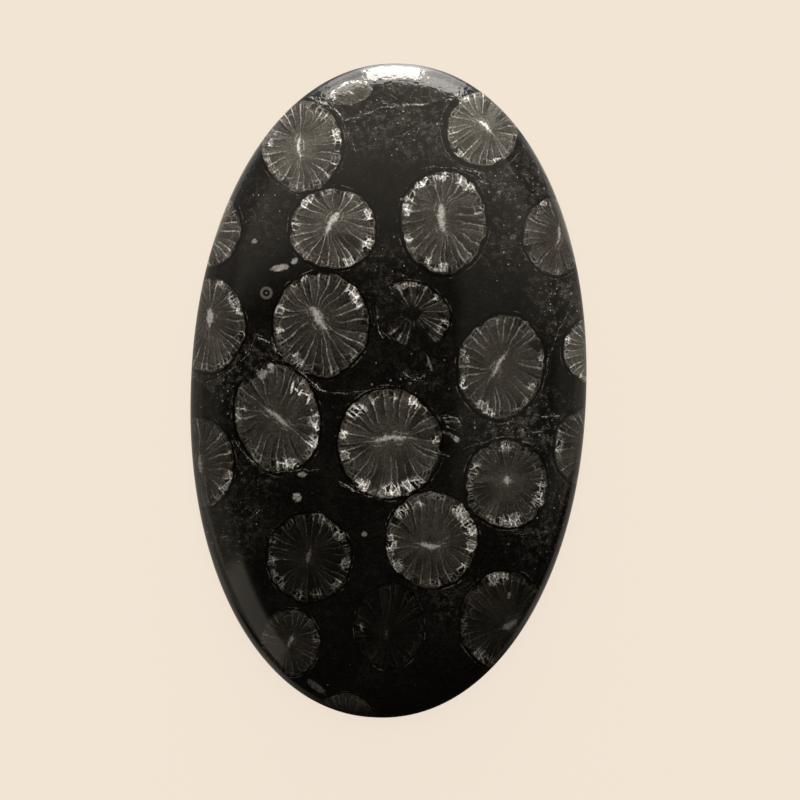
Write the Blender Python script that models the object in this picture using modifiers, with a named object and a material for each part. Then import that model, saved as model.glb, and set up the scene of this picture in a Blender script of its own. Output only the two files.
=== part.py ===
"""A polished oval stone of fossil coral: a domed top, a narrow upright edge and a flat back.

The stone lies on its back. The origin is the middle of the back, +Y runs along the stone and +Z is up.
Run it with blender --background --python part.py, or from Blender's text editor.
"""

import math

import bpy

# Driving dimensions, in metres
LENGTH = 0.0460
WIDTH = 0.0278
THICKNESS = 0.0064
EDGE_HEIGHT = 0.0014    # the upright edge between the back and the dome
BACK_BEVEL = 0.0003     # the narrow bevel where the edge meets the back

# Shape
OUTLINE_POWER = 2.095   # 2 is a true ellipse, and a little more fills the shoulders out
DOME_POWER = 2.0        # the same, for the section through the dome

# Facets
STEPS_ROUND = 88
DOME_RINGS = 22
BACK_RINGS = 3

# Finish
STONE_COLOUR = (0.012, 0.011, 0.010, 1.0)
STONE_ROUGHNESS = 0.12


def clear_scene():
    """Remove every object, so that the model starts from nothing."""
    for item in list(bpy.data.objects):
        bpy.data.objects.remove(item, do_unlink=True)


def superellipse(angle, power):
    """The point at this angle on a superellipse of half size 1 by 1."""
    across = math.cos(angle)
    along = math.sin(angle)
    x = math.copysign(abs(across) ** (2 / power), across)
    y = math.copysign(abs(along) ** (2 / power), along)
    return x, y


def half_section():
    """The stone's section across its width, as (radius, height) from the top down to the back's middle."""
    half_width = WIDTH / 2
    dome_height = THICKNESS - EDGE_HEIGHT
    points = [(0.0, THICKNESS)]
    for ring in range(1, DOME_RINGS + 1):
        angle = math.pi / 2 * (1 - ring / DOME_RINGS)
        out, up = superellipse(angle, DOME_POWER)
        points.append((half_width * out, EDGE_HEIGHT + dome_height * up))
    points.append((half_width, BACK_BEVEL))
    flat_radius = half_width - BACK_BEVEL
    for ring in range(BACK_RINGS):
        points.append((flat_radius * (1 - ring / BACK_RINGS), 0.0))
    points.append((0.0, 0.0))
    return points


def turned_blank(collection):
    """A round stone of the right section, turned about Z with a Screw modifier and made a plain mesh."""
    points = half_section()
    profile = bpy.data.meshes.new("stone_section")
    profile.from_pydata(
        [(radius, 0.0, height) for radius, height in points],
        [(i, i + 1) for i in range(len(points) - 1)],
        [],
    )
    turning = bpy.data.objects.new("stone_turning", profile)
    collection.objects.link(turning)

    screw = turning.modifiers.new("Turn", "SCREW")
    screw.axis = "Z"
    screw.angle = math.tau
    screw.steps = STEPS_ROUND
    screw.render_steps = STEPS_ROUND
    screw.use_merge_vertices = True
    screw.merge_threshold = 0.00001

    bpy.context.view_layer.update()
    evaluated = turning.evaluated_get(bpy.context.evaluated_depsgraph_get())
    blank = bpy.data.meshes.new_from_object(evaluated)
    bpy.data.objects.remove(turning, do_unlink=True)
    return blank


def oval_place(point):
    """Move a point of the round blank to its place on the oval stone.

    Above the edge, each ring is a smaller copy of the outline, so the dome closes to one point.
    The edge, the bevel and the rim of the back keep the same inset all the way round.
    """
    radius = math.hypot(point.x, point.y)
    if radius == 0.0:
        return point.x, point.y
    half_width = WIDTH / 2
    half_length = LENGTH / 2
    inset = half_width - radius
    on_edge = point.z < EDGE_HEIGHT and inset < 2 * BACK_BEVEL
    reach = half_length - inset if on_edge else half_length * radius / half_width
    x, y = superellipse(math.atan2(point.y, point.x), OUTLINE_POWER)
    return radius * x, reach * y


def stone_material():
    """Near-black polished limestone."""
    material = bpy.data.materials.new("fossil_coral")
    material.use_nodes = True
    surface = material.node_tree.nodes["Principled BSDF"]
    surface.inputs["Base Color"].default_value = STONE_COLOUR
    surface.inputs["Roughness"].default_value = STONE_ROUGHNESS
    surface.inputs["Metallic"].default_value = 0.0
    return material


def make_stone(collection):
    """The whole stone, in one piece."""
    mesh = turned_blank(collection)
    mesh.name = "coral_stone"
    for vertex in mesh.vertices:
        vertex.co.x, vertex.co.y = oval_place(vertex.co)
    mesh.shade_smooth()
    mesh.set_sharp_from_angle(angle=math.radians(35))
    mesh.materials.append(stone_material())

    stone = bpy.data.objects.new("coral_stone", mesh)
    collection.objects.link(stone)
    return stone


clear_scene()
stone_collection = bpy.data.collections.new("fossil_coral_stone")
bpy.context.scene.collection.children.link(stone_collection)
make_stone(stone_collection)
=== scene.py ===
"""The finish of a polished oval stone of fossil coral, lying on a pale table in soft studio light.

The stone is near-black limestone full of coral branches, which stood side by side when the mud buried
them. The cut goes across the branches, so each one shows as a star. Thin walls (septa) run in from the
rim of the star towards a rod at its middle, and grey calcite fills the spaces between them.
"""

import math
from collections import namedtuple

import bpy
import numpy as np
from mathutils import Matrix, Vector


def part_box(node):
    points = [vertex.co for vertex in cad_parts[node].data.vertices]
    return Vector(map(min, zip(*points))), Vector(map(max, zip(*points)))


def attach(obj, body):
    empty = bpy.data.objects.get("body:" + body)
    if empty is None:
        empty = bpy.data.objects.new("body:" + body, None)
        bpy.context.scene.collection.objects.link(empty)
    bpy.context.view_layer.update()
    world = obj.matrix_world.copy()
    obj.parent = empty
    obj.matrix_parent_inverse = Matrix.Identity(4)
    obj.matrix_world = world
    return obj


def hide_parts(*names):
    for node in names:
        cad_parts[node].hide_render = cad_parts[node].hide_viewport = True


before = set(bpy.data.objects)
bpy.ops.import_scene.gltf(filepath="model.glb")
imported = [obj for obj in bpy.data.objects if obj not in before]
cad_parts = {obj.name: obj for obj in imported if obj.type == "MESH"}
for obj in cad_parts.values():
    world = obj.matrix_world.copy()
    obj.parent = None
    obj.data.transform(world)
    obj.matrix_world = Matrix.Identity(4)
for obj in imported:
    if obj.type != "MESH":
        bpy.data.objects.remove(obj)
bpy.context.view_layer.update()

# ------------------------------------------------------------------------------------------------
# The stone
# One piece of limestone, sawn across the coral, then ground on a wheel to a low dome over a narrow
# upright edge. The back is left flat, with a small bevel that keeps its rim from chipping.
# ------------------------------------------------------------------------------------------------

MM = 0.001
NODE = "coral_stone"
low_corner, high_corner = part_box(NODE)
HALF_WIDTH = (high_corner.x - low_corner.x) / 2
HALF_LENGTH = (high_corner.y - low_corner.y) / 2
EDGE_HEIGHT = 1.4 * MM
DOME_RISE = high_corner.z - low_corner.z - EDGE_HEIGHT
BACK_BEVEL = 0.3 * MM
BEVEL_STEPS = 3
OUTLINE_POWER = 2.095       # 2 is a true ellipse, and a little more fills the shoulders out
STEPS_ROUND = 256
STEPS_OVER = 160
MERGE_DISTANCE = 0.001 * MM
SHARP_ANGLE = math.radians(35)


def pick_faces(mesh_object, wanted):
    """Leave edit mode with only the faces selected that wanted(face) says, then enter it again."""
    bpy.ops.object.mode_set(mode="EDIT")
    bpy.ops.mesh.select_mode(type="FACE")
    bpy.ops.mesh.select_all(action="DESELECT")
    bpy.ops.object.mode_set(mode="OBJECT")
    for face in mesh_object.data.polygons:
        face.select = wanted(face)
    bpy.ops.object.mode_set(mode="EDIT")


bpy.ops.object.select_all(action="DESELECT")
bpy.ops.mesh.primitive_uv_sphere_add(segments=STEPS_ROUND, ring_count=STEPS_OVER, radius=1.0)
stone = bpy.context.object
stone.name = "polished_coral_stone"
bpy.ops.transform.resize(value=(HALF_WIDTH, HALF_LENGTH, DOME_RISE))
bpy.ops.object.transform_apply(location=False, rotation=False, scale=True)

# The lower half is pressed flat to make the back, which is then drawn down to make the edge.
pick_faces(stone, lambda face: face.center.z < 0)
bpy.ops.transform.resize(value=(1, 1, 0), center_override=(0, 0, 0))
bpy.ops.mesh.extrude_region_move(
    TRANSFORM_OT_translate={"value": (0, 0, BACK_BEVEL - EDGE_HEIGHT)},
)
for step in range(BEVEL_STEPS):
    before = math.pi / 2 * step / BEVEL_STEPS
    after = math.pi / 2 * (step + 1) / BEVEL_STEPS
    inset_before = BACK_BEVEL * (1 - math.cos(before))
    inset_after = BACK_BEVEL * (1 - math.cos(after))
    drop = BACK_BEVEL * (math.sin(before) - math.sin(after))
    bpy.ops.mesh.extrude_region_move(TRANSFORM_OT_translate={"value": (0, 0, drop)})
    narrow = (HALF_WIDTH - inset_after) / (HALF_WIDTH - inset_before)
    shorten = (HALF_LENGTH - inset_after) / (HALF_LENGTH - inset_before)
    bpy.ops.transform.resize(value=(narrow, shorten, 1), center_override=(0, 0, 0))
bpy.ops.mesh.select_all(action="SELECT")
bpy.ops.transform.translate(value=(0, 0, EDGE_HEIGHT))
bpy.ops.mesh.remove_doubles(threshold=MERGE_DISTANCE)
bpy.ops.mesh.normals_make_consistent(inside=False)
bpy.ops.object.mode_set(mode="OBJECT")

# The plain ellipse is filled out a little at its shoulders.
for vertex in stone.data.vertices:
    turn = math.atan2(vertex.co.y / HALF_LENGTH, vertex.co.x / HALF_WIDTH)
    reach = abs(math.cos(turn)) ** OUTLINE_POWER + abs(math.sin(turn)) ** OUTLINE_POWER
    vertex.co.x *= reach ** (-1 / OUTLINE_POWER)
    vertex.co.y *= reach ** (-1 / OUTLINE_POWER)
bpy.ops.object.shade_smooth_by_angle(angle=SHARP_ANGLE)

# Every face corner in millimetres, the face that it belongs to, and how deep it lies under the
# dome. The patterns below are laid out with these.
stone_mesh = stone.data
points = np.empty(len(stone_mesh.vertices) * 3)
stone_mesh.vertices.foreach_get("co", points)
points = points.reshape(-1, 3) / MM
corner_point = np.empty(len(stone_mesh.loops), np.int64)
stone_mesh.loops.foreach_get("vertex_index", corner_point)
corners_per_face = np.empty(len(stone_mesh.polygons), np.int64)
stone_mesh.polygons.foreach_get("loop_total", corners_per_face)
corner_face = np.repeat(np.arange(len(corners_per_face)), corners_per_face)


def depth_below_dome(place):
    """How far each point lies under the dome, in millimetres."""
    across = np.abs(place[:, 0] / (HALF_WIDTH / MM)) ** OUTLINE_POWER
    along = np.abs(place[:, 1] / (HALF_LENGTH / MM)) ** OUTLINE_POWER
    out = np.minimum((across + along) ** (1 / OUTLINE_POWER), 1.0)
    top = (EDGE_HEIGHT + DOME_RISE * np.sqrt(1 - out**2)) / MM
    return np.maximum(top - place[:, 2], 0.0)


corner_place = points[corner_point]
corner_depth = depth_below_dome(corner_place)
first_corner = np.searchsorted(corner_face, np.arange(len(corners_per_face)))
face_place = np.add.reduceat(corner_place, first_corner) / corners_per_face[:, None]
face_depth = depth_below_dome(face_place)


def keep_on_corners(name, first, second, third):
    """Store three numbers for every face corner, for the material to read under this name."""
    values = np.stack([first, second, third], axis=1).astype(np.float32)
    stored = stone_mesh.attributes.new(name, "FLOAT_VECTOR", "CORNER")
    stored.data.foreach_set("vector", values.ravel())


# ------------------------------------------------------------------------------------------------
# The dark limestone
# Lime mud, black with plant matter, that set hard round the coral. It is nearly even, with faint
# clouds, a few shell grains, and in places fine pale threads where it was squeezed and healed.
# ------------------------------------------------------------------------------------------------

ROCK_SHADE = 0.0022         # how much light the plain rock gives back, where 1 is all of it
ROCK_CLOUD = 0.0026         # what the palest clouds add
MOTTLE_SHADE = 0.022
THREAD_SHADE = 0.070
GRAIN_SHADE = 0.240
THREADS_ANYWHERE = 0.07     # how threaded the rock is outside the zones
ZONE_EDGE = 1.35            # where a zone ends, in reaches

# (x, y, reach across, reach along, strength) of the zones with threads, in millimetres
THREAD_ZONES = [
    (0.5, 18.8, 5.5, 2.5, 1.3),
    (8.5, 15.0, 4.0, 3.0, 1.2),
    (7.6, 10.5, 1.6, 3.0, 0.8),
    (12.0, 7.0, 2.5, 3.0, 1.5),
    (9.8, -2.3, 4.2, 2.8, 1.6),
    (11.5, -8.5, 3.0, 3.5, 1.1),
    (-10.0, 0.5, 3.5, 3.0, 1.1),
    (-11.0, -9.5, 3.0, 3.5, 0.7),
    (-9.5, 12.0, 2.5, 3.0, 0.5),
    (-0.5, 8.5, 2.5, 3.0, 0.6),
    (2.5, 1.5, 3.5, 2.5, 0.4),
    (-9.5, -6.5, 2.5, 2.0, 0.6),
    (4.5, -14.0, 2.5, 2.5, 0.5),
]


class Field:
    """A number or a place that changes over a surface. Arithmetic on it adds nodes to its tree."""

    def __init__(self, socket):
        self.socket = socket
        self.tree = socket.id_data

    def __add__(self, other):
        return maths("ADD", self, other)

    __radd__ = __add__

    def __sub__(self, other):
        return maths("SUBTRACT", self, other)

    def __rsub__(self, other):
        return maths("SUBTRACT", other, self)

    def __mul__(self, other):
        return maths("MULTIPLY", self, other)

    __rmul__ = __mul__

    def __truediv__(self, other):
        return maths("DIVIDE", self, other)

    def __abs__(self):
        return maths("ABSOLUTE", self)

    def rise(self, start, end):
        """0 up to start, 1 from end on, and a smooth step between them."""
        inputs = {"Value": self, "From Min": start, "From Max": end}
        return add_node(self.tree, "ShaderNodeMapRange", inputs, interpolation_type="SMOOTHSTEP")

    def fall(self, start, end):
        """1 up to start, 0 from end on, and a smooth step between them."""
        inputs = {"Value": self, "From Min": start, "From Max": end, "To Min": 1.0, "To Max": 0.0}
        return add_node(self.tree, "ShaderNodeMapRange", inputs, interpolation_type="SMOOTHSTEP")

    def band(self, start, full, leave, end):
        """Rises from 0 at start to 1 at full, and falls again from leave to 0 at end."""
        return self.rise(start, full) * self.fall(leave, end)

    def parts(self):
        """The three numbers of a place or a colour."""
        first = add_node(self.tree, "ShaderNodeSeparateXYZ", {0: self})
        return [Field(socket) for socket in first.socket.node.outputs]


def add_node(tree, kind, inputs, output=0, **settings):
    """Add a node, set or join its inputs, and give one of its outputs as a field."""
    made = tree.nodes.new(kind)
    for name, setting in settings.items():
        setattr(made, name, setting)
    for name, value in inputs.items():
        if isinstance(value, Field):
            tree.links.new(value.socket, made.inputs[name])
        else:
            made.inputs[name].default_value = value
    return Field(made.outputs[output])


def maths(operation, *values):
    """One step of arithmetic on fields and plain numbers."""
    tree = next(value.tree for value in values if isinstance(value, Field))
    return add_node(tree, "ShaderNodeMath", dict(enumerate(values)), operation=operation)


def vector_maths(operation, *values, output=0):
    """One step of arithmetic on places. Scale takes a place and a number."""
    inputs = dict(enumerate(values))
    if operation == "SCALE":
        inputs = {0: values[0], "Scale": values[1]}
    return add_node(values[0].tree, "ShaderNodeVectorMath", inputs, output, operation=operation)


def length(place):
    """How far a place lies from the origin."""
    return vector_maths("LENGTH", place, output="Value")


def gather(tree, first, second, third):
    """A place made of three numbers."""
    return add_node(tree, "ShaderNodeCombineXYZ", {0: first, 1: second, 2: third})


def noise(place, scale, detail=2.0, output="Fac", roughness=0.5, kind="3D"):
    """Smooth noise between 0 and 1, mostly near 0.5. The 2D kind is the same all the way down."""
    inputs = {"Vector": place, "Scale": scale, "Detail": detail, "Roughness": roughness}
    return add_node(place.tree, "ShaderNodeTexNoise", inputs, output, noise_dimensions=kind)


def dice(number):
    """Three random numbers that stay the same for the same number."""
    kind = "ShaderNodeTexWhiteNoise"
    return add_node(number.tree, kind, {"W": number}, "Color", noise_dimensions="1D").parts()


def mix(kind, factor, first, second):
    """The first number, place or colour where factor is 0, and the second where it is 1."""
    socket = {"FLOAT": 2, "VECTOR": 4, "RGBA": 6}[kind]
    output = {"FLOAT": 0, "VECTOR": 1, "RGBA": 2}[kind]
    inputs = {0: factor, socket: first, socket + 1: second}
    return add_node(factor.tree, "ShaderNodeMix", inputs, output, data_type=kind)


def start_group(name, takes, gives):
    """A new shader node group: its tree, and its inputs as fields."""
    tree = bpy.data.node_groups.new(name, "ShaderNodeTree")
    for socket_name, kind in takes.items():
        tree.interface.new_socket(socket_name, in_out="INPUT", socket_type="NodeSocket" + kind)
    for socket_name in gives:
        tree.interface.new_socket(socket_name, in_out="OUTPUT", socket_type="NodeSocketFloat")
    entry = tree.nodes.new("NodeGroupInput")
    return tree, [Field(socket) for socket in entry.outputs if socket.name in takes]


def end_group(tree, **results):
    """Join the results to the group's outputs."""
    leaving = tree.nodes.new("NodeGroupOutput")
    for name, field in results.items():
        tree.links.new(field.socket, leaving.inputs[name])


def use_group(tree, group, *inputs):
    """Place a group in a material and give its outputs as fields."""
    made = tree.nodes.new("ShaderNodeGroup")
    made.node_tree = group
    for socket, field in zip(made.inputs, inputs):
        tree.links.new(field.socket, socket)
    return [Field(socket) for socket in made.outputs]


def make_limestone_group():
    """The dark rock. Spot is a place in millimetres, and Threads is how much of it is threaded."""
    tree, (spot, threads) = start_group(
        "Dark limestone",
        {"Spot": "Vector", "Threads": "Float"},
        ["Shade", "Grains"],
    )
    cloud = noise(spot, 0.33, 4.0, roughness=0.6).rise(0.42, 0.72)
    grit = noise(spot, 5.5, 3.0, roughness=0.8).rise(0.30, 0.70)
    mottle = noise(spot, 1.7, 4.0, roughness=0.72)
    rock = (cloud * ROCK_CLOUD + ROCK_SHADE) * (grit * 1.3 + 0.35)
    rock = rock + mottle.rise(0.47, 0.62) * grit * threads * MOTTLE_SHADE

    # threads: the zero lines of two stretched noises, broken up by the mottling
    stretched = vector_maths("MULTIPLY", spot, (0.55, 1.5, 1.0))
    drifted = vector_maths("ADD", stretched, vector_maths("SCALE", noise(spot, 1.3, 2.0, "Color"), 0.9))
    first = abs(noise(drifted, 0.75, 4.0, roughness=0.62) - 0.5).fall(0.0, 0.013)
    second = abs(noise(drifted, 2.2, 4.0, roughness=0.75) - 0.52).fall(0.0, 0.016)
    broken = mottle.rise(0.44, 0.56) * (grit * 0.9 + 0.25)
    thread = maths("MAXIMUM", first, second * 0.8) * broken * threads

    # grains of shell, sparse and all of different brightness
    grain_inputs = {"Vector": spot, "Scale": 2.6, "Randomness": 1.0}
    cells = add_node(tree, "ShaderNodeTexVoronoi", grain_inputs, voronoi_dimensions="2D")
    chance, chance_2, _ = Field(cells.socket.node.outputs["Color"]).parts()
    size = chance_2 * chance_2 * 0.13 + 0.05
    plenty = threads * 0.30 + 0.05
    grain = (cells / size).fall(0.5, 1.3) * (chance - 1.0 + plenty).rise(0.0, 0.20)
    grain = grain * (grit * 0.9 + 0.35)

    end_group(tree, Shade=rock + thread * THREAD_SHADE, Grains=grain * GRAIN_SHADE)
    return tree


limestone_group = make_limestone_group()

thread_amount = np.full(len(points), THREADS_ANYWHERE)
for x, y, reach_x, reach_y, strength in THREAD_ZONES:
    away = np.hypot((points[:, 0] - x) / reach_x, (points[:, 1] - y) / reach_y)
    thread_amount = np.maximum(thread_amount, strength * np.clip(ZONE_EDGE - away, 0.0, 1.0))
thread_zones = stone_mesh.attributes.new("threads", "FLOAT", "POINT")
thread_zones.data.foreach_set("value", thread_amount.astype(np.float32))


# ------------------------------------------------------------------------------------------------
# The coral branches
# Stems of a clustered coral, 5 to 7 mm thick, filled with calcite. Each has about 26 septa, a rim
# of small arched plates between them, and a lens-shaped rod at the middle. They lean a little, so
# their cut ends on the back don't lie quite under those on the dome.
# ------------------------------------------------------------------------------------------------

SHADE_BODY = 0.024
SHADE_SEPTUM = 0.120
SHADE_ARCH = 0.070
SHADE_SOFT_LACE = 0.024
SHADE_RIM = 0.045
SHADE_CORE = 0.18
SHADE_CLEAR = 0.50
LEAN = 0.25                 # how far a branch drifts for each millimetre of depth
LEAN_STEP = 2.4             # how far its direction turns from one branch to the next, in radians
WANDER = 0.12               # how far the outline wanders and trembles, in radii
TREMBLE = 0.045
SEPTA_RAGGED = 0.8          # how far the cells of the fringe are moved about
ARCH_PLACE = 0.72           # where the two rings of arched plates begin, in radii
OUTER_ARCH_PLACE = 0.865
POINTS_LIGHT = 0.45         # how bright the rod's points, its frayed halo and the loop round it are
HALO_LIGHT = 0.30
LOOP_LIGHT = 0.45

# x, y, wide and high are the place and the half sizes of the cut end in millimetres, and turn is in
# degrees. septa is their number, tone the brightness, and fringe how much bright calcite fills the
# rim. The core_ values are the rod's half length and half thickness in radii, its direction in
# degrees, and how far it lies off the middle. wave is how wavy the septa are, glow how far the
# middle is clouded, and ring how wide the dark gap round the branch is.
Branch = namedtuple(
    "Branch",
    "x y wide high turn septa tone fringe core_long core_thick core_turn core_x core_y wave glow ring",
)
BRANCHES = [
    Branch(-3.4, 20.8, 1.55, 0.85, 15, 14, 1.3, 0.9, 0.20, 0.05, -60, 0, 0, 0.5, 0.5, 0.05),
    Branch(1.6, 22.5, 3.02, 2.39, 2, 26, 0.4, 0.5, 0.20, 0.05, 10, 0, 0, 0.5, 0.9, 0.01),
    Branch(-6.7, 16.9, 2.81, 3.23, 2, 26, 1.95, 0.5, 0.24, 0.045, -91, -0.10, -0.04, 0.7, 0.5, 0.06),
    Branch(5.9, 18.6, 2.60, 2.67, 2, 25, 2.25, 0.4, 0.25, 0.070, -41, 0.14, 0.11, 0.6, 0.5, 0.14),
    Branch(-13.3, 10.9, 2.53, 2.81, 2, 24, 1.5, 0.5, 0.22, 0.05, -90, 0, 0, 0.8, 0.2, 0.06),
    Branch(-4.3, 11.2, 3.09, 2.88, 2, 25, 1.55, 0.6, 0.36, 0.075, -114, -0.04, 0.21, 0.5, 0.2, 0.04),
    Branch(3.4, 11.9, 3.02, 3.65, 2, 26, 1.2, 0.9, 0.34, 0.075, -78, -0.08, 0.17, 1.3, 0.2, 0.06),
    Branch(11.3, 11.3, 2.32, 2.81, 2, 26, 1.1, 0.5, 0.25, 0.05, -100, 0.14, 0.08, 0.4, 0.4, 0.05),
    Branch(-12.8, 4.1, 2.60, 3.37, 2, 26, 1.1, 0.6, 0.28, 0.085, -96, 0.10, 0.25, 0.4, 0.3, 0.04),
    Branch(-4.9, 4.4, 3.37, 3.72, 2, 26, 0.98, 0.5, 0.34, 0.080, -56, -0.08, 0.21, 0.4, 0.0, 0.03),
    Branch(1.5, 5.4, 2.75, 2.25, -28, 22, 0.5, 0.7, 0.0, 0.01, 0, -0.05, 0.05, 0.9, -0.9, 0.02),
    Branch(7.8, 2.0, 3.02, 3.72, -8, 27, 1.03, 0.5, 0.32, 0.055, -116, -0.11, 0.05, 0.5, 0.4, 0.05),
    Branch(14.4, 3.4, 2.32, 2.39, 2, 24, 3.1, 0.5, 0.22, 0.05, -80, 0, 0, 0.4, 0.3, 0.07),
    Branch(-7.7, -2.2, 3.02, 3.87, 14, 26, 0.95, 0.6, 0.30, 0.060, -41, 0, 0.05, 0.5, 0.4, 0.04),
    Branch(-13.0, -5.6, 2.39, 3.23, 2, 24, 0.74, 0.9, 0.22, 0.05, -80, 0, 0, 0.9, 0.1, 0.04),
    Branch(0.2, -3.7, 3.65, 3.87, 2, 27, 1.17, 0.9, 0.34, 0.060, 6, 0.06, 0.14, 0.4, 0.5, 0.03),
    Branch(14.3, -3.5, 2.53, 2.88, 2, 24, 1, 0.5, 0.22, 0.05, -80, 0, 0, 0.5, 0.2, 0.06),
    Branch(8.5, -6.2, 2.95, 3.09, 2, 28, 1.05, 0.6, 0.13, 0.075, -88, 0, 0.12, 0.4, 0.9, 0.04),
    Branch(-5.1, -11.9, 3.02, 3.16, 2, 27, 0.28, 0.9, 0.19, 0.055, -105, 0.03, 0.07, 0.4, 0.3, 0.02),
    Branch(3.4, -10.3, 3.23, 3.44, 2, 27, 0.97, 0.8, 0.26, 0.080, 2, -0.06, -0.18, 0.5, 0.7, 0.02),
    Branch(-6.2, -17.9, 2.11, 2.39, 2, 23, 0.6, 0.3, 0.21, 0.05, -114, 0, 0, 0.5, 0.3, 0.02),
    Branch(0.7, -16.5, 2.46, 3.09, 2, 24, 0.20, 0.1, 0.15, 0.05, -97, -0.11, -0.28, 0.8, 0.6, 0.0),
    Branch(8.7, -15.8, 3.16, 3.51, -8, 28, 0.52, 0.3, 0.22, 0.100, 33, 0.25, -0.10, 0.3, 0.9, 0.02),
    Branch(-2.2, -23.4, 2.25, 2.11, 2, 24, 0.9, 0.1, 0.20, 0.05, 20, 0, 0, 0.5, 0.7, 0.02),
]


def place_in_branch(branch, number, place, depth):
    """Where points lie in a branch's cut end, in radii of it."""
    lean_way = number * LEAN_STEP
    x = place[:, 0] - branch.x - LEAN * math.cos(lean_way) * depth
    y = place[:, 1] - branch.y - LEAN * math.sin(lean_way) * depth
    turn = math.radians(branch.turn)
    across = (x * math.cos(turn) + y * math.sin(turn)) / branch.wide
    along = (y * math.cos(turn) - x * math.sin(turn)) / branch.high
    return across, along


# Each face takes the two branches whose rims are nearest, and its corners keep their place in both.
rim_distance = np.empty((len(BRANCHES), len(face_place)))
for number, branch in enumerate(BRANCHES):
    across, along = place_in_branch(branch, number, face_place, face_depth)
    rim_distance[number] = (np.hypot(across, along) - 1) * (branch.wide + branch.high) / 2
nearest_two = np.argsort(rim_distance, axis=0)[:2]

for rank, letter in enumerate("ab"):
    values = {name: np.zeros(len(corner_place)) for name in ("u", "v", "number") + Branch._fields}
    corner_branch = nearest_two[rank][corner_face]
    for number, branch in enumerate(BRANCHES):
        here = corner_branch == number
        across, along = place_in_branch(branch, number, corner_place[here], corner_depth[here])
        pull = (1 - np.minimum(np.hypot(across, along), 1)) ** 2
        values["u"][here] = across - branch.core_x * pull
        values["v"][here] = along - branch.core_y * pull
        values["number"][here] = number
        for name in Branch._fields:
            values[name][here] = getattr(branch, name)
    values["core_turn"] = np.radians(values["core_turn"])
    keep_on_corners("place_" + letter, values["u"], values["v"], values["number"])
    keep_on_corners("look_" + letter, values["septa"], values["tone"], values["fringe"])
    keep_on_corners("core_" + letter, values["core_long"], values["core_thick"], values["core_turn"])
    keep_on_corners("mood_" + letter, values["wave"], values["glow"], values["ring"])


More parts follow.
